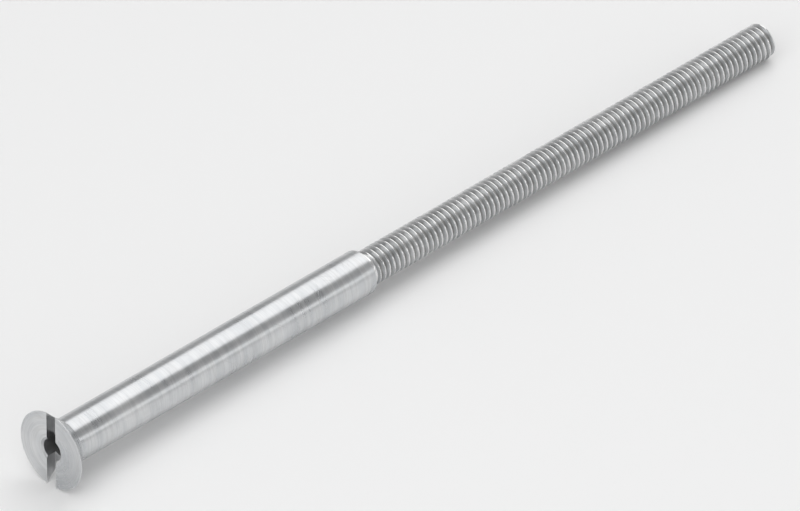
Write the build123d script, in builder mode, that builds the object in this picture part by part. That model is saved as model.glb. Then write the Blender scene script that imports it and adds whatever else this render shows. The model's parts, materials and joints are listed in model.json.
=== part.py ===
from build123d import *
import math
import os

# A slotted countersunk screw, turned in one piece: a 90 degree head, a plain shank, and a thinner
# threaded end that starts at a square shoulder. It lies along +X with +Z up, and the origin is the
# middle of the head face. The slot stands upright, so the head lies on the two corners that the
# slot leaves in its rim, and the screw does not roll. The M4 thread is held as a plain cylinder
# at its major diameter.

# Driving dimensions, in millimetres and degrees.
head_diameter = 9.0  # over the rim
head_angle = 90.0  # included angle of the seat
rim_land = 0.05  # the blunted rim, between the face and the seat
shank_diameter = 5.0
shank_end = 45.0  # from the head face to the shoulder
thread_diameter = 4.0  # major diameter of the M4 thread
thread_length = 60.0  # from the shoulder to the tip
tip_chamfer = 0.25
edge_break = 0.1  # on the outer edge of the shoulder
slot_width = 1.3
slot_depth = 1.25
hole_diameter = 2.5
hole_depth = 4.0  # of the full bore, from the head face
hole_mouth_widening = 0.275  # on the radius
hole_mouth_angle = 120.0  # included angle of the widened mouth
drill_point_angle = 118.0

# Sizes that follow from them.
head_radius = head_diameter / 2
shank_radius = shank_diameter / 2
thread_radius = thread_diameter / 2
hole_radius = hole_diameter / 2
hole_mouth_radius = hole_radius + hole_mouth_widening
overall_length = shank_end + thread_length
shoulder_chamfer = min(edge_break, (shank_radius - thread_radius) / 2)


def cone_depth(large_radius, small_radius, included_angle):
    """How far a cone runs along its axis between two of its radii."""
    return (large_radius - small_radius) / math.tan(math.radians(included_angle / 2))


seat_end = rim_land + cone_depth(head_radius, shank_radius, head_angle)
hole_mouth_depth = cone_depth(hole_mouth_radius, hole_radius, hole_mouth_angle)
hole_end = hole_depth + cone_depth(hole_radius, 0, drill_point_angle)

with BuildPart() as screw:
    # The turned outline, from the head face to the tip.
    with BuildSketch(Plane.XZ):
        with BuildLine():
            Polyline(
                (0, 0),
                (0, head_radius),
                (rim_land, head_radius),
                (seat_end, shank_radius),
                (shank_end, shank_radius),
                (shank_end, thread_radius),
                (overall_length, thread_radius),
                (overall_length, 0),
                close=True,
            )
        make_face()
    revolve(axis=Axis.X)

    # Broken edges at the shoulder and the tip.
    turned_edges = screw.edges().filter_by(GeomType.CIRCLE)
    shoulder_edges = turned_edges.filter_by_position(Axis.X, shank_end, shank_end)
    chamfer(shoulder_edges.sort_by(SortBy.RADIUS)[-1], shoulder_chamfer)
    chamfer(turned_edges.sort_by(Axis.X)[-1], tip_chamfer)

    # The blind hole in the middle of the head, with its widened mouth and its drill point.
    with BuildSketch(Plane.XZ):
        with BuildLine():
            Polyline(
                (0, 0),
                (0, hole_mouth_radius),
                (hole_mouth_depth, hole_radius),
                (hole_depth, hole_radius),
                (hole_end, 0),
                close=True,
            )
        make_face()
    revolve(axis=Axis.X, mode=Mode.SUBTRACT)

    # The driver slot, sawn right across the head and out through the seat at both ends.
    with BuildSketch(Plane.YZ):
        Rectangle(slot_width, head_diameter)
    extrude(amount=slot_depth, mode=Mode.SUBTRACT)

screw.part.label = "screw"

os.makedirs("parts", exist_ok=True)
export_step(screw.part, "parts/screw.step")
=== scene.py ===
import json
import math
from functools import reduce

import bmesh
import bpy
import numpy as np
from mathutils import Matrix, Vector


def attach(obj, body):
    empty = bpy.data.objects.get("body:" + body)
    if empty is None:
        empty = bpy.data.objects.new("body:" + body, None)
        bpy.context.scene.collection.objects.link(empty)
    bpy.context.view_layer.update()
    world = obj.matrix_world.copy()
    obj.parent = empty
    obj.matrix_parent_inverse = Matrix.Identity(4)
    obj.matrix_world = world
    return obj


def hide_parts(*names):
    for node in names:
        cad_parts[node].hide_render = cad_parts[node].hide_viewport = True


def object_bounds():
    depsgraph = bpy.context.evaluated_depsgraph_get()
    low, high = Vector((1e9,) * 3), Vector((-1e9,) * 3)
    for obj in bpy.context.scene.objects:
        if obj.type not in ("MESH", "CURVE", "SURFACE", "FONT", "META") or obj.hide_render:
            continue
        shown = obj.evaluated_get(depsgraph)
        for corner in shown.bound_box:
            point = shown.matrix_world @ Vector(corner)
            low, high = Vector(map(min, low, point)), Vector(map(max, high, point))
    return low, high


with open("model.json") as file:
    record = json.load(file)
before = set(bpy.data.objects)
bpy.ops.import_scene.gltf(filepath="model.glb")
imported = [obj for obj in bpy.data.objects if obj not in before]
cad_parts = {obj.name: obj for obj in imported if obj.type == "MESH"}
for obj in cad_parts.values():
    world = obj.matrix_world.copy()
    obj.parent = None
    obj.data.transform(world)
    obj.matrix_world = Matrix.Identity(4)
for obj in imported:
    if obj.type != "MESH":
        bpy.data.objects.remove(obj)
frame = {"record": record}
cad_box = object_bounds()

# A slotted countersunk screw, turned in one piece from steel and plated. It lies along +X, with its
# head at the origin and its slot upright. Its sizes are in millimetres, and the mesh is scaled to
# metres at the end. Angles round the axis turn from +Y to +Z.

MM = 0.001
mounts = {mount["name"]: mount for mount in frame["record"]["mounts"]}


def mount_radius(name):
    return mounts[name]["dims"]["r_mm"]


def mount_span(name):
    """Where a mount's cylinder starts and ends along the screw."""
    middle, length = mounts[name]["pos_m"][0] / MM, mounts[name]["dims"]["length_mm"]
    return middle - length / 2, middle + length / 2


overall_length = cad_box[1].x / MM
head_radius = 4.5
rim_land = 0.05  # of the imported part; here the rim is rounded inside it
shank_radius = mount_radius("shank")
seat_end, shank_end = mount_span("shank")
major_radius = mount_radius("thread")
shoulder, thread_end = mount_span("thread")
hole_radius = mount_radius("centre_hole")
hole_depth = mount_span("centre_hole")[1]
hole_mouth_radius = 1.525
hole_mouth_slope = math.radians(60)  # of the widened mouth, from the axis
drill_point_slope = math.radians(59)
slot_half = 0.65
slot_depth = 1.25

seat_fillet = 0.12  # where the seat meets the shank
shoulder_fillet = 0.12  # where the shoulder meets the threaded end
edge_round = 0.022  # on the edges that the saw, the drill and the lathe leave

# The coarse M4 thread, with the standard's shares of the pitch for its crests and roots.
pitch = 0.7
crest_half = pitch / 16
root_radius = 0.1443 * pitch
root_half = root_radius * math.sin(math.pi / 3)  # from the middle of a root to the flank
flank_slope = math.sqrt(3)  # 60 degrees from the axis
thread_depth = 0.6134 * pitch
plain_neck = 0.45  # between the shoulder and the first groove
runout = 1.5 * pitch  # in which the groove reaches its full depth

ear_segments, mouth_segments = 56, 8  # round one half of the head, and across one end of the slot
around = 2 * (ear_segments + mouth_segments)
thread_around = around // 2
face_steps = 6  # from the hole to the rim
rounded_from = math.radians(25)  # an outer edge that turns by more than this is rounded
shaded_sharp_from = math.radians(50)  # an edge that turns by more than this is shaded as sharp
margin = 1e-3  # for telling places apart

TURNED, SAWN, DRILLED, THREADED = range(4)  # in the order of the screw's materials


# ---- Mesh ----


def spots(x, radius, angles):
    """Points at these angles round the axis."""
    angles = np.asarray(angles, float)
    x, radius = np.broadcast_to(x, angles.shape), np.broadcast_to(radius, angles.shape)
    return np.stack([x, radius * np.cos(angles), radius * np.sin(angles)], -1)


def arc(centre, radius, start, end, steps):
    """Points of an arc in the lathe's plane, as (x, radius)."""
    return [
        (centre[0] + radius * math.cos(a), centre[1] + radius * math.sin(a))
        for a in np.linspace(start, end, steps + 1)
    ]


def straight(start, end, steps):
    return [tuple(p) for p in np.linspace(start, end, steps + 1)]


def opening(radius):
    """The angle from the slot's middle to its edge, at this radius."""
    return math.asin(slot_half / radius)


def ear_angles(radius, side):
    """Round one half of the head, from one edge of the slot to the other."""
    half = math.pi / 2 - opening(radius)
    return side * math.pi + np.linspace(-half, half, ear_segments + 1)


def mouth_angles(radius, side):
    """Across one end of the slot."""
    half = opening(radius)
    return (side + 0.5) * math.pi + np.linspace(-half, half, mouth_segments + 1)


def ring_angles(radius):
    """All round, with a column on each edge that the slot has at this radius."""
    parts = [
        columns(radius, side)[:-1] for side in (0, 1) for columns in (ear_angles, mouth_angles)
    ]
    return np.concatenate([*parts, parts[0][:1] + 2 * math.pi])


def even_angles(count):
    """All round in equal steps, from the column where the seat's first ring starts."""
    start = ear_angles(seat_radius(slot_depth), 0)[0]
    return start + np.arange(count + 1) * 2 * math.pi / count


class Patches:
    """Collects grids of points, which are welded into one mesh."""

    def __init__(self):
        self.points, self.faces, self.finishes, self.count = [], [], [], 0

    def add(self, rows, finish):
        """A grid of points, with a face in each of its cells."""
        rows = np.asarray(rows, float)
        height, width = rows.shape[:2]
        index = self.count + np.arange(height * width).reshape(height, width)
        corners = [index[:-1, :-1], index[:-1, 1:], index[1:, 1:], index[1:, :-1]]
        faces = np.stack(corners, -1).reshape(-1, 4)
        self.points.append(rows.reshape(-1, 3))
        self.faces += faces.tolist()
        self.finishes += [finish] * len(faces)
        self.count += height * width

    def add_face(self, corners, finish):
        self.points.append(np.array(corners))
        self.faces.append(list(range(self.count, self.count + len(corners))))
        self.finishes.append(finish)
        self.count += len(corners)

    def welded(self):
        mesh = bpy.data.meshes.new("patches")
        mesh.from_pydata(np.concatenate(self.points).tolist(), [], self.faces)
        mesh.polygons.foreach_set("material_index", self.finishes)
        bm = bmesh.new()
        bm.from_mesh(mesh)
        bpy.data.meshes.remove(mesh)
        bmesh.ops.remove_doubles(bm, verts=bm.verts, dist=1e-4)
        bmesh.ops.recalc_face_normals(bm, faces=bm.faces)
        return bm


def rim_profile():
    """From the head face round the rim to the seat: one arc that touches all three."""
    radius = rim_land / math.sqrt(2)
    return arc((radius, head_radius - radius), radius, math.pi, math.pi / 4, steps=8)


def seat_radius(x):
    """The radius of the 90 degree cone at this distance from the head face."""
    return head_radius + rim_land - x


def slot_levels():
    """The profile of the head and that of the hole, level by level down the slot's walls."""
    rim = rim_profile()
    outside = rim + straight(rim[-1], (slot_depth, seat_radius(slot_depth)), steps=4)[1:]
    mouth_depth = (hole_mouth_radius - hole_radius) / math.tan(hole_mouth_slope)
    mouth = (mouth_depth, hole_radius)
    inside = [(0.0, hole_mouth_radius)]
    inside += straight(mouth, (slot_depth, hole_radius), steps=len(outside) - 2)
    return outside, inside


def between(inner, outer):
    """Rows of points from an inner line to an outer one."""
    return [inner + (outer - inner) * share for share in np.linspace(0, 1, face_steps + 1)]


def add_head(patches):
    """The two halves of the head that the slot leaves, down to the slot's floor."""
    outside, inside = slot_levels()
    for side in (0, 1):
        patches.add([spots(x, r, ear_angles(r, side)) for x, r in outside], TURNED)
        patches.add([spots(x, r, ear_angles(r, side)) for x, r in inside], DRILLED)
        (_, rim), (_, hole) = outside[0], inside[0]
        face = between(spots(0, hole, ear_angles(hole, side)), spots(0, rim, ear_angles(rim, side)))
        patches.add(face, TURNED)
        (floor, rim), (_, hole) = outside[-1], inside[-1]
        patches.add(
            between(
                spots(floor, hole, mouth_angles(hole, side)),
                spots(floor, rim, mouth_angles(rim, side)),
            ),
            SAWN,
        )
        for end in (0, -1):
            inner, outer = (
                np.array([spots(x, r, ear_angles(r, side))[end] for x, r in levels])
                for levels in (inside, outside)
            )
            patches.add(between(inner, outer), SAWN)


def add_hole(patches):
    """The bore below the slot's floor, and the drill's point."""
    point = hole_depth + hole_radius / math.tan(drill_point_slope)
    profile = straight((slot_depth, hole_radius), (hole_depth, hole_radius), steps=4)
    profile += straight((hole_depth, hole_radius), (point, 0.0), steps=4)[1:]
    angles = ring_angles(hole_radius)
    patches.add([spots(x, r, angles) for x, r in profile], DRILLED)


def seat_and_shank_profile():
    """From the slot's floor down the seat, along the shank and over the shoulder."""
    reach = seat_fillet * math.tan(math.pi / 8)
    centre = (seat_end + reach, shank_radius + seat_fillet)
    start = (slot_depth, seat_radius(slot_depth))
    fillet = arc(centre, seat_fillet, -3 * math.pi / 4, -math.pi / 2, steps=3)
    profile = straight(start, fillet[0], steps=2) + fillet[1:]
    profile += straight(fillet[-1], (shank_end, shank_radius), steps=16)[1:]
    return profile + [(shoulder, shank_radius - (shoulder - shank_end))]


def add_seat_and_shank(patches):
    start, *profile = seat_and_shank_profile()
    rows = [spots(*start, ring_angles(start[1]))]
    rows += [spots(x, r, even_angles(around)) for x, r in profile]
    patches.add(rows, TURNED)


def thread_profile(off_crest):
    """The radius at this distance along the screw from the middle of a crest."""
    off_root = pitch / 2 - off_crest
    flank = major_radius - (off_crest - crest_half) * flank_slope
    dip = np.sqrt(np.maximum(root_radius**2 - off_root**2, 0))
    root = major_radius - thread_depth + root_radius - dip
    in_root = off_root < root_half
    return np.where(in_root, root, np.minimum(flank, major_radius))


def thread_radius(x, angle):
    """The surface of the right-hand thread, with its run-out and the chamfer at its tip."""
    turns = (x - shoulder) / pitch - angle / (2 * math.pi)
    cut = thread_profile(np.abs(turns - np.round(turns)) * pitch)
    grown = np.clip((x - shoulder - plain_neck) / runout, 0, 1)
    groove = np.maximum(cut, major_radius - thread_depth * grown)
    return np.minimum(groove, major_radius - np.maximum(x - thread_end, 0))


def add_thread(patches):
    """Columns of points that climb with the thread, held back to a plain ring at each end."""
    angles = even_angles(thread_around)
    centre = (shoulder + shoulder_fillet, major_radius + shoulder_fillet)
    fillet = arc(centre, shoulder_fillet, -math.pi, -math.pi / 2, steps=4)
    patches.add([spots(x, r, angles) for x, r in fillet], THREADED)
    start, end = fillet[-1][0], overall_length
    flank_end = pitch / 2 - root_half
    half = [crest_half, (crest_half + flank_end) / 2, flank_end, pitch / 2 - root_radius / 2]
    offsets = np.array([*half, pitch / 2, *(pitch - d for d in reversed(half))])
    turns = np.arange(-2, math.ceil((end - shoulder) / pitch) + 2)
    rows = (shoulder + turns[:, None] * pitch + offsets).reshape(-1, 1)
    x = np.clip(rows + pitch * angles / (2 * math.pi), start, end)
    angle = np.broadcast_to(angles, x.shape)
    patches.add(spots(x, thread_radius(x, angle), angle), THREADED)
    rim = thread_radius(np.full(angles.shape, end), angles)
    patches.add([spots(end, rim * share, angles) for share in (1, 0.66, 0.33, 0)], THREADED)


def add_shoulder(patches):
    """The square shoulder. The threaded end has half as many columns as the shank."""
    edge = spots(shoulder, shank_radius - (shoulder - shank_end), even_angles(around))
    inner_radius = major_radius + shoulder_fillet
    ring = spots(shoulder, (inner_radius + shank_radius) / 2, even_angles(around))
    inner = spots(shoulder, inner_radius, even_angles(thread_around))
    patches.add([edge, ring], TURNED)
    for j in range(thread_around):
        patches.add_face([*ring[2 * j : 2 * j + 3], inner[j + 1], inner[j]], TURNED)


def round_edges(bm):
    """Breaks the sharp outer edges that the saw, the drill and the lathe leave."""
    sharp = [
        edge
        for edge in bm.edges
        if edge.is_convex
        and edge.calc_face_angle(0) > rounded_from
        and max(vert.co.x for vert in edge.verts) < shoulder + margin
    ]
    bmesh.ops.bevel(
        bm,
        geom=sharp,
        offset=edge_round,
        offset_type="OFFSET",
        segments=3,
        profile=0.5,
        affect="EDGES",
        clamp_overlap=False,
        material=-1,
    )
    bmesh.ops.recalc_face_normals(bm, faces=bm.faces)


# ---- Map for baking ----

map_gap = 0.35  # between cells
thread_half = shoulder + shoulder - seat_end  # where the thread goes over to the next column
map_columns = (
    (2 * math.pi * shank_radius, {"shank": shoulder - seat_end}),
    (2 * math.pi * major_radius, {"near_thread": thread_half - shoulder}),
    (
        math.pi * head_radius,
        {
            "far_thread": overall_length - thread_half,
            "front_0": head_radius,
            "front_1": head_radius,
            "seat_0": seat_end * math.sqrt(2),
            "seat_1": seat_end * math.sqrt(2),
            "flat_ends": shank_radius,
            "bore": hole_depth,
            "wall_0": slot_depth,
            "wall_1": slot_depth,
        },
    ),
)


def cell_corners():
    """The corner of each cell, in columns side by side, and the side of the whole map."""
    corners, u, top = {}, map_gap, 0
    for width, heights in map_columns:
        v = map_gap
        for name, height in heights.items():
            corners[name] = (u, v)
            v += height + map_gap
        u, top = u + width + map_gap, max(top, v)
    return corners, max(u, top)


def cell_of(finish, centre, normal):
    """The cell in which each face lies, by its finish, place and slope."""
    x, y, _ = centre.T
    half = (y < 0).astype(int).astype(str)
    in_head = x < seat_end + seat_fillet / 2
    towards_tip = normal[:, 0]
    along_screw = np.abs(towards_tip) < 0.5
    tip = x > overall_length - margin
    choices = (
        ((finish == SAWN) & along_screw, np.char.add("wall_", half)),
        ((finish == DRILLED) & along_screw, "bore"),
        ((finish == DRILLED) | in_head & (towards_tip < 0.1), np.char.add("front_", half)),
        (in_head, np.char.add("seat_", half)),
        ((finish == THREADED) & tip | (finish == TURNED) & (towards_tip > 0.5), "flat_ends"),
        ((finish == THREADED) & (x < thread_half), "near_thread"),
        (finish == THREADED, "far_thread"),
    )
    conditions, cells = zip(*choices)
    return np.select(conditions, [np.broadcast_to(cell, half.shape) for cell in cells], "shank")


def unrolled(around_axis, middle, start, radius):
    """How far round the screw from the start, without a break inside the face with this middle."""
    full_turn = 2 * math.pi
    middle_turn = (middle - start) % full_turn
    off_middle = (around_axis - middle + math.pi) % full_turn - math.pi
    return (middle_turn + off_middle) * radius


def lay_out_map(mesh):
    """Unrolls each cell at about the true size of its widest ring.

    A cell's width runs round the screw, or up a wall of the slot.
    """
    corners, side = cell_corners()
    finish = np.array([face.material_index for face in mesh.polygons])
    centre = np.array([face.center for face in mesh.polygons]) / MM
    normal = np.array([face.normal for face in mesh.polygons])
    face = np.repeat(np.arange(len(finish)), [face.loop_total for face in mesh.polygons])
    x, y, z = np.array([mesh.vertices[loop.vertex_index].co for loop in mesh.loops]).T / MM
    middle = np.arctan2(centre[:, 2], centre[:, 1])[face]
    radius = np.hypot(y, z)
    on_axis = radius < 1e-6
    around_axis = np.where(on_axis, middle, np.arctan2(z, y))
    cell = cell_of(finish, centre, normal)[face]
    full, right, left = -math.pi, -math.pi / 2, math.pi / 2
    # For each cell, the angle where it starts, the radius it is unrolled at, and how high a point lies.
    ways = {
        "shank": (full, shank_radius, x - seat_end),
        "near_thread": (full, major_radius, x - shoulder),
        "far_thread": (full, major_radius, x - thread_half),
        "front_0": (right, head_radius, radius),
        "front_1": (left, head_radius, radius),
        "seat_0": (right, head_radius, x * math.sqrt(2)),
        "seat_1": (left, head_radius, x * math.sqrt(2)),
        "flat_ends": (full, major_radius, radius),
        "bore": (full, hole_radius, x),
        "wall_0": (None, None, x),
        "wall_1": (None, None, x),
    }
    uv = np.zeros((len(x), 2))
    for name, (start, scale, along) in ways.items():
        here = cell == name
        across = z + head_radius if start is None else unrolled(around_axis, middle, start, scale)
        uv[here] = np.stack([across, along], -1)[here] + corners[name]
    layer = mesh.uv_layers.new(name="OFBake")
    layer.uv.foreach_set("vector", (uv / side).astype(np.float32).ravel())


def make_screw():
    patches = Patches()
    add_head(patches)
    add_hole(patches)
    add_seat_and_shank(patches)
    add_shoulder(patches)
    add_thread(patches)
    bm = patches.welded()
    round_edges(bm)
    bmesh.ops.scale(bm, vec=(MM, MM, MM), verts=bm.verts)
    mesh = bpy.data.meshes.new("countersunk_screw")
    bm.to_mesh(mesh)
    bm.free()
    lay_out_map(mesh)
    mesh.shade_smooth()
    mesh.set_sharp_from_angle(angle=shaded_sharp_from)
    screw = bpy.data.objects.new("countersunk_screw", mesh)
    bpy.context.scene.collection.objects.link(screw)
    flat_faces = screw.modifiers.new("flat_faces", "WEIGHTED_NORMAL")
    flat_faces.keep_sharp = True
    return screw


screw = make_screw()
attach(screw, "root")
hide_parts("screw")


# ---- Materials ----

MIX_SHARE, MIX_UNDER, MIX_OVER, MIX_RESULT = 0, 6, 7, 2  # the sockets of a mix of two colours


def grey(tone, blue=0.0):
    """A grey of this tone, made bluer by this share."""
    return (tone * (1 - blue), tone, tone * (1 + blue), 1)


class Finish:
    """One procedural material, with the places on the screw that its patterns are made from."""

    def __init__(self, name, metallic=1.0):
        self.material = bpy.data.materials.new(name)
        self.material.use_nodes = True
        self.tree = self.material.node_tree
        self.shader = self.tree.nodes["Principled BSDF"]
        self.shader.inputs["Metallic"].default_value = metallic
        self.place = self.stretched(self.node("ShaderNodeTexCoord").outputs["Object"], 1 / MM)
        parts = self.node("ShaderNodeSeparateXYZ", {0: self.place}).outputs
        self.x, self.y, self.z = parts["X"], parts["Y"], parts["Z"]
        squares = (self.maths("POWER", part, 2.0) for part in (self.y, self.z))
        self.radius = self.maths("SQRT", self.maths("ADD", *squares))

    def node(self, kind, inputs=None, **settings):
        """Adds a node. Its inputs are sockets to link or plain values."""
        node = self.tree.nodes.new(kind)
        for name, value in settings.items():
            setattr(node, name, value)
        for name, value in (inputs or {}).items():
            self.feed(node.inputs[name], value)
        return node

    def feed(self, socket, value):
        if isinstance(value, bpy.types.NodeSocket):
            self.tree.links.new(value, socket)
        else:
            socket.default_value = value

    def maths(self, operation, *values):
        node = self.node("ShaderNodeMath", dict(enumerate(values)), operation=operation)
        return node.outputs["Value"]

    def times(self, value, factor):
        return self.maths("MULTIPLY", value, factor)

    def total(self, *values):
        return reduce(lambda first, second: self.maths("ADD", first, second), values)

    def stretched(self, vector, factor):
        inputs = {0: vector, "Scale": factor}
        return self.node("ShaderNodeVectorMath", inputs, operation="SCALE").outputs["Vector"]

    def blend(self, value, start, end, low=0.0, high=1.0):
        """Goes smoothly from low to high while the value goes from start to end."""
        inputs = {"Value": value, "From Min": start, "From Max": end, "To Min": low, "To Max": high}
        node = self.node("ShaderNodeMapRange", inputs, interpolation_type="SMOOTHSTEP")
        return node.outputs["Result"]

    def noise(self, place, detail, seed):
        """Noise with about one cell to a unit. The place is a vector or its three parts."""
        if isinstance(place, tuple):
            place = self.node("ShaderNodeCombineXYZ", dict(enumerate(place))).outputs["Vector"]
        inputs = {"Vector": place, "Scale": 1.0, "Detail": detail, "W": seed}
        return self.node("ShaderNodeTexNoise", inputs, noise_dimensions="4D").outputs["Fac"]

    def colour(self, ground, *layers):
        """Lays colours over the ground. Each layer is how much of it shows, and its colour."""
        for share, shade in layers:
            inputs = {MIX_SHARE: share, MIX_UNDER: ground, MIX_OVER: shade}
            mix = self.node("ShaderNodeMix", inputs, data_type="RGBA")
            ground = mix.outputs[MIX_RESULT]
        self.feed(self.shader.inputs["Base Color"], ground)

    def roughness(self, ground, *changes):
        """Each change is a pattern and how much rougher it makes the surface."""
        parts = [self.times(pattern, amount) for pattern, amount in changes]
        self.feed(self.shader.inputs["Roughness"], self.total(ground, *parts))

    def bumps(self, depth, height):
        """The height is a pattern from 0 to about 1, and the depth is in millimetres."""
        inputs = {"Height": height, "Distance": depth * MM, "Strength": 1.0}
        bump = self.node("ShaderNodeBump", inputs)
        self.feed(self.shader.inputs["Normal"], bump.outputs["Normal"])


def blotches(finish, size, seed):
    """Slow variation of the plating, in patches of about this size."""
    clouds = finish.noise(finish.stretched(finish.place, 1 / size), 4.0, seed)
    return finish.blend(clouds, 0.35, 0.65)


def worn_edges(finish, width):
    """Where the surface bends within this width. The wear is patchy, as rubbing leaves it."""
    smooth = finish.node("ShaderNodeNewGeometry").outputs["Normal"]
    bent = finish.node("ShaderNodeBevel", {"Radius": width * MM}, samples=8).outputs["Normal"]
    cosine = finish.node("ShaderNodeVectorMath", {0: smooth, 1: bent}, operation="DOT_PRODUCT")
    patchy = finish.blend(finish.noise(finish.place, 3.0, 4.0), 0.35, 0.65, low=0.55)
    return finish.times(finish.blend(cosine.outputs["Value"], 0.995, 0.9), patchy)


def lathe_rings(finish, per_mm, detail, seed):
    """Marks that run round the axis, on the face and the seat as on the shank."""
    path = finish.maths("SUBTRACT", finish.x, finish.radius)
    slow = 0.12 * math.sqrt(per_mm)  # so that a mark comes and goes along its ring
    place = (finish.times(path, per_mm), finish.times(finish.y, slow), finish.times(finish.z, slow))
    return finish.noise(place, detail, seed)


def scratches(finish, seed):
    """Thin marks of handling, few and far between, at two slants."""
    angle = finish.maths("ABSOLUTE", finish.maths("ARCTAN2", finish.z, finish.y))
    round_the_axis = finish.times(angle, finish.radius)
    per_mm_across, per_mm_along, patches_per_mm = 9.0, 0.2, 0.35
    marks = []
    for slant, number in ((0.5, seed), (-0.9, seed + 1.0)):
        cos, sin = math.cos(slant), math.sin(slant)
        across = finish.total(finish.times(finish.x, cos), finish.times(round_the_axis, sin))
        along = finish.total(finish.times(finish.x, -sin), finish.times(round_the_axis, cos))
        place = (finish.times(across, per_mm_across), finish.times(along, per_mm_along), 0.0)
        strokes = finish.blend(finish.noise(place, 0.0, number), 0.68, 0.76)
        patch = finish.noise(finish.stretched(finish.place, patches_per_mm), 0.0, number + 5.0)
        marks.append(finish.times(strokes, finish.blend(patch, 0.5, 0.6)))
    return finish.maths("MAXIMUM", *marks)


def brush_round(finish, strength):
    """Marks that run round the axis draw highlights out along it."""
    finish.shader.inputs["Anisotropic"].default_value = strength
    finish.shader.inputs["Anisotropic Rotation"].default_value = 0.25  # of a full turn
    tangent = finish.node("ShaderNodeTangent", direction_type="RADIAL", axis="X")
    finish.feed(finish.shader.inputs["Tangent"], tangent.outputs["Tangent"])


def turned_steel():
    finish = Finish("turned_steel")
    rings, bands = lathe_rings(finish, 7.0, 2.0, 1.0), lathe_rings(finish, 1.3, 3.0, 2.0)
    plating, worn, marks = blotches(finish, 5.0, 3.0), worn_edges(finish, 0.16), scratches(finish, 7.0)
    finish.colour(
        grey(0.55, 0.03),
        (plating, grey(0.67, 0.015)),
        (finish.blend(bands, 0.42, 0.62, 0.0, 0.4), grey(0.75)),
        (finish.blend(rings, 0.42, 0.66, 0.0, 0.3), grey(0.46)),
        (worn, grey(0.86)),
        (finish.times(marks, 0.35), grey(0.5)),
    )
    finish.roughness(0.21, (plating, 0.07), (bands, 0.12), (marks, 0.15), (worn, -0.05))
    finish.bumps(0.004, finish.total(finish.times(rings, 0.6), bands, finish.times(marks, -0.6)))
    brush_round(finish, 0.5)
    return finish.material


def sawn_steel():
    """The saw leaves straight marks along the slot."""
    finish = Finish("sawn_steel")
    place = (finish.times(finish.x, 7.0), finish.times(finish.y, 7.0), finish.times(finish.z, 0.35))
    lines = finish.noise(place, 3.0, 11.0)
    plating, worn = blotches(finish, 2.0, 12.0), worn_edges(finish, 0.12)
    finish.colour(
        # tones darker than the turned steel's: painted shade in the slot
        grey(0.45, 0.02),
        (plating, grey(0.56, 0.01)),
        (finish.blend(lines, 0.4, 0.6, 0.0, 0.5), grey(0.67)),
        (worn, grey(0.85)),
    )
    finish.roughness(0.28, (lines, 0.16), (worn, -0.08))
    finish.bumps(0.012, lines)
    return finish.material


def drilled_steel():
    """The drill leaves rings, and the plating is rougher deep in the hole. Painted shade darkens the
    hole with depth, and its tones are painted a little darker than the turned steel's, as shade in the
    hole.
    """
    finish = Finish("drilled_steel")
    rings = lathe_rings(finish, 8.0, 3.0, 21.0)
    plating, worn = blotches(finish, 1.5, 22.0), worn_edges(finish, 0.12)
    # painted shade: darker the deeper in the hole; the same ramp also makes it rougher
    deep_shade_and_dullness = finish.blend(finish.x, 0.0, 3.0)
    finish.colour(
        # tones a little darker than the turned steel's: painted shade in the hole
        grey(0.5, 0.02),
        (plating, grey(0.61, 0.01)),
        (finish.blend(rings, 0.45, 0.6, 0.0, 0.3), grey(0.68)),
        # painted shade, darker towards the bottom of the hole
        (deep_shade_and_dullness, grey(0.34)),
        (worn, grey(0.85)),
    )
    finish.roughness(0.3, (rings, 0.18), (deep_shade_and_dullness, 0.08), (worn, -0.08))
    finish.bumps(0.01, rings)
    brush_round(finish, 0.3)
    return finish.material


def threaded_steel():
    """Crests are rubbed bright, and the roots are painted darker, as shade in the grooves."""
    finish = Finish("threaded_steel")
    rings = lathe_rings(finish, 14.0, 2.0, 31.0)
    plating = blotches(finish, 4.0, 32.0)
    patchy = finish.blend(finish.noise(finish.place, 3.0, 33.0), 0.3, 0.7, -0.06, 0.06)
    height = finish.maths("ADD", finish.radius, patchy)
    crest = finish.blend(height, major_radius - 0.1, major_radius - 0.02)
    # painted shade: darker towards the roots of the grooves; the same mask also makes them rougher
    root = finish.blend(height, major_radius - 0.45 * thread_depth, major_radius - thread_depth)
    # the colour of the painted shade in the roots
    painted_root_shade = (0.3, 0.295, 0.285, 1)
    finish.colour(
        grey(0.53, 0.02),
        (plating, grey(0.64, 0.01)),
        (finish.blend(rings, 0.42, 0.66, 0.0, 0.45), grey(0.44)),
        (finish.times(root, 0.8), painted_root_shade),
        (finish.times(crest, 0.85), grey(0.84)),
    )
    finish.roughness(0.24, (rings, 0.12), (root, 0.18), (crest, -0.05))
    finish.bumps(0.004, rings)
    brush_round(finish, 0.4)
    return finish.material


for make_finish in (turned_steel, sawn_steel, drilled_steel, threaded_steel):
    screw.data.materials.append(make_finish())


# ---- Stage, light and camera ----

paper_tone = 0.87  # of the paper far from the screw, and of the horizon
floor_reach = 3.0  # in metres
lamp_distance = 0.6  # in metres, as the lamps' sizes are
lens = 1000  # so long that parallel lines stay nearly parallel
camera_distance = 2317
aim_right, aim_up = -1.215, -1.36  # from the middle of the screw to the middle of the picture


def lowest_slope(points):
    """The head's lowest point, and how steeply a floor climbs from it to the first crest it meets."""
    head = points[points[:, 0] < seat_end * MM]
    lowest = head[np.argmin(head[:, 2])]
    far = points[points[:, 0] > shoulder * MM]
    return lowest, np.min((far[:, 2] - lowest[2]) / (far[:, 0] - lowest[0]))


def make_floor(points):
    """The screw lies on the rim of its head and on its thread, so the floor rises with it."""
    lowest, slope = lowest_slope(points)
    square = ((-1, -1), (1, -1), (1, 1), (-1, 1))
    corners = [
        (x, y, lowest[2] + slope * (x - lowest[0])) for x, y in floor_reach * np.array(square)
    ]
    mesh = bpy.data.meshes.new("floor")
    mesh.from_pydata(corners, [], [(0, 1, 2, 3)])
    floor = bpy.data.objects.new("floor", mesh)
    bpy.context.scene.collection.objects.link(floor)
    floor.data.materials.append(paper())


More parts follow.
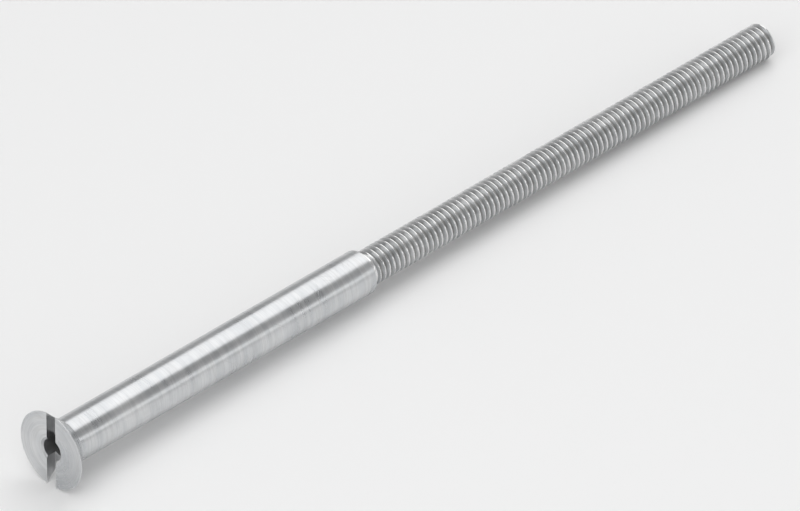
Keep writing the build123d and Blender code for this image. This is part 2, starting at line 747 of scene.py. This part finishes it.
def paper():
    """Pale paper. Far from the screw, where the lamps don't reach it, it shows the same tone."""
    finish = Finish("paper", metallic=0.0)
    finish.shader.inputs["Base Color"].default_value = grey(0.93)
    finish.shader.inputs["Roughness"].default_value = 1.0
    finish.shader.inputs["Specular IOR Level"].default_value = 0.0
    path = finish.node("ShaderNodeLightPath").outputs
    mirrored = finish.maths("MAXIMUM", path["Is Glossy Ray"], path["Is Transmission Ray"])
    seen = finish.maths("MAXIMUM", path["Is Camera Ray"], mirrored)
    middle = (overall_length / 2, 0, 0)
    off_middle = finish.node("ShaderNodeVectorMath", {0: finish.place, 1: middle}, operation="DISTANCE")
    lamps_fade, lamps_end = 120.0, 400.0
    far = finish.blend(off_middle.outputs["Value"], lamps_fade, lamps_end)
    glow = finish.node("ShaderNodeEmission", {"Color": grey(paper_tone)}).outputs["Emission"]
    inputs = {0: finish.times(far, seen), 1: finish.shader.outputs["BSDF"], 2: glow}
    mix = finish.node("ShaderNodeMixShader", inputs)
    finish.feed(finish.tree.nodes["Material Output"].inputs["Surface"], mix.outputs["Shader"])
    return finish.material


def make_world():
    """A dim room with a pale horizon, so that the metal has tones to mirror."""
    world = bpy.data.worlds.new("studio")
    bpy.context.scene.world = world
    world.use_nodes = True
    tree = world.node_tree
    direction = tree.nodes.new("ShaderNodeTexCoord").outputs["Generated"]
    parts = tree.nodes.new("ShaderNodeSeparateXYZ")
    tree.links.new(direction, parts.inputs[0])
    ramp = tree.nodes.new("ShaderNodeValToRGB")
    tree.links.new(parts.outputs["Z"], ramp.inputs["Fac"])
    horizon, wall, ceiling = (0.0, paper_tone), (0.06, 0.52), (1.0, 0.26)
    stops = ramp.color_ramp.elements
    stops.new(wall[0])
    for stop, (height, tone) in zip(stops, (horizon, wall, ceiling)):
        stop.position = height
        stop.color = grey(tone)
    tree.links.new(ramp.outputs["Color"], tree.nodes["Background"].inputs["Color"])


def softbox(name, towards, size, radiance):
    """A lamp seen from the middle of the screw in this direction, which faces it."""
    middle = Vector((overall_length / 2 * MM, 0, 0))
    towards = Vector(towards).normalized()
    lamp = bpy.data.lights.new(name, "AREA")
    lamp.shape = "RECTANGLE"
    lamp.size, lamp.size_y = size
    lamp.energy = radiance * math.pi * size[0] * size[1]
    holder = bpy.data.objects.new(name, lamp)
    bpy.context.scene.collection.objects.link(holder)
    holder.location = middle + towards * lamp_distance
    holder.rotation_mode = "QUATERNION"
    holder.rotation_quaternion = towards.to_track_quat("Z", "Y")
    holder.visible_camera = False


def make_camera():
    """An isometric view, from the head's side."""
    azimuth, elevation = math.radians(-45), math.asin(1 / math.sqrt(3))
    right = Vector((math.cos(azimuth), math.sin(azimuth), 0))
    level = Vector((math.sin(azimuth), -math.cos(azimuth), 0))
    back = level * math.cos(elevation) + Vector((0, 0, math.sin(elevation)))
    up = back.cross(right)
    aim = Vector((overall_length / 2, 0, 0)) + aim_right * right + aim_up * up
    camera = bpy.data.objects.new("camera", bpy.data.cameras.new("camera"))
    camera.data.lens = lens
    camera.data.clip_start, camera.data.clip_end = 0.01, 20
    camera.location = (aim + camera_distance * back) * MM
    camera.rotation_mode = "QUATERNION"
    camera.rotation_quaternion = back.to_track_quat("Z", "Y")
    bpy.context.scene.collection.objects.link(camera)
    bpy.context.scene.camera = camera


make_floor(np.array([vertex.co for vertex in screw.data.vertices]))
make_world()
softbox("overhead", towards=(0.4, 0.15, 0.9), size=(0.6, 0.9), radiance=1.15)
softbox("strip", towards=(0.5, -0.82, 0.28), size=(0.8, 0.12), radiance=0.9)
softbox("fill", towards=(-0.62, -0.3, 0.72), size=(0.7, 0.7), radiance=1.1)
make_camera()
bpy.context.scene.view_settings.view_transform = "Standard"
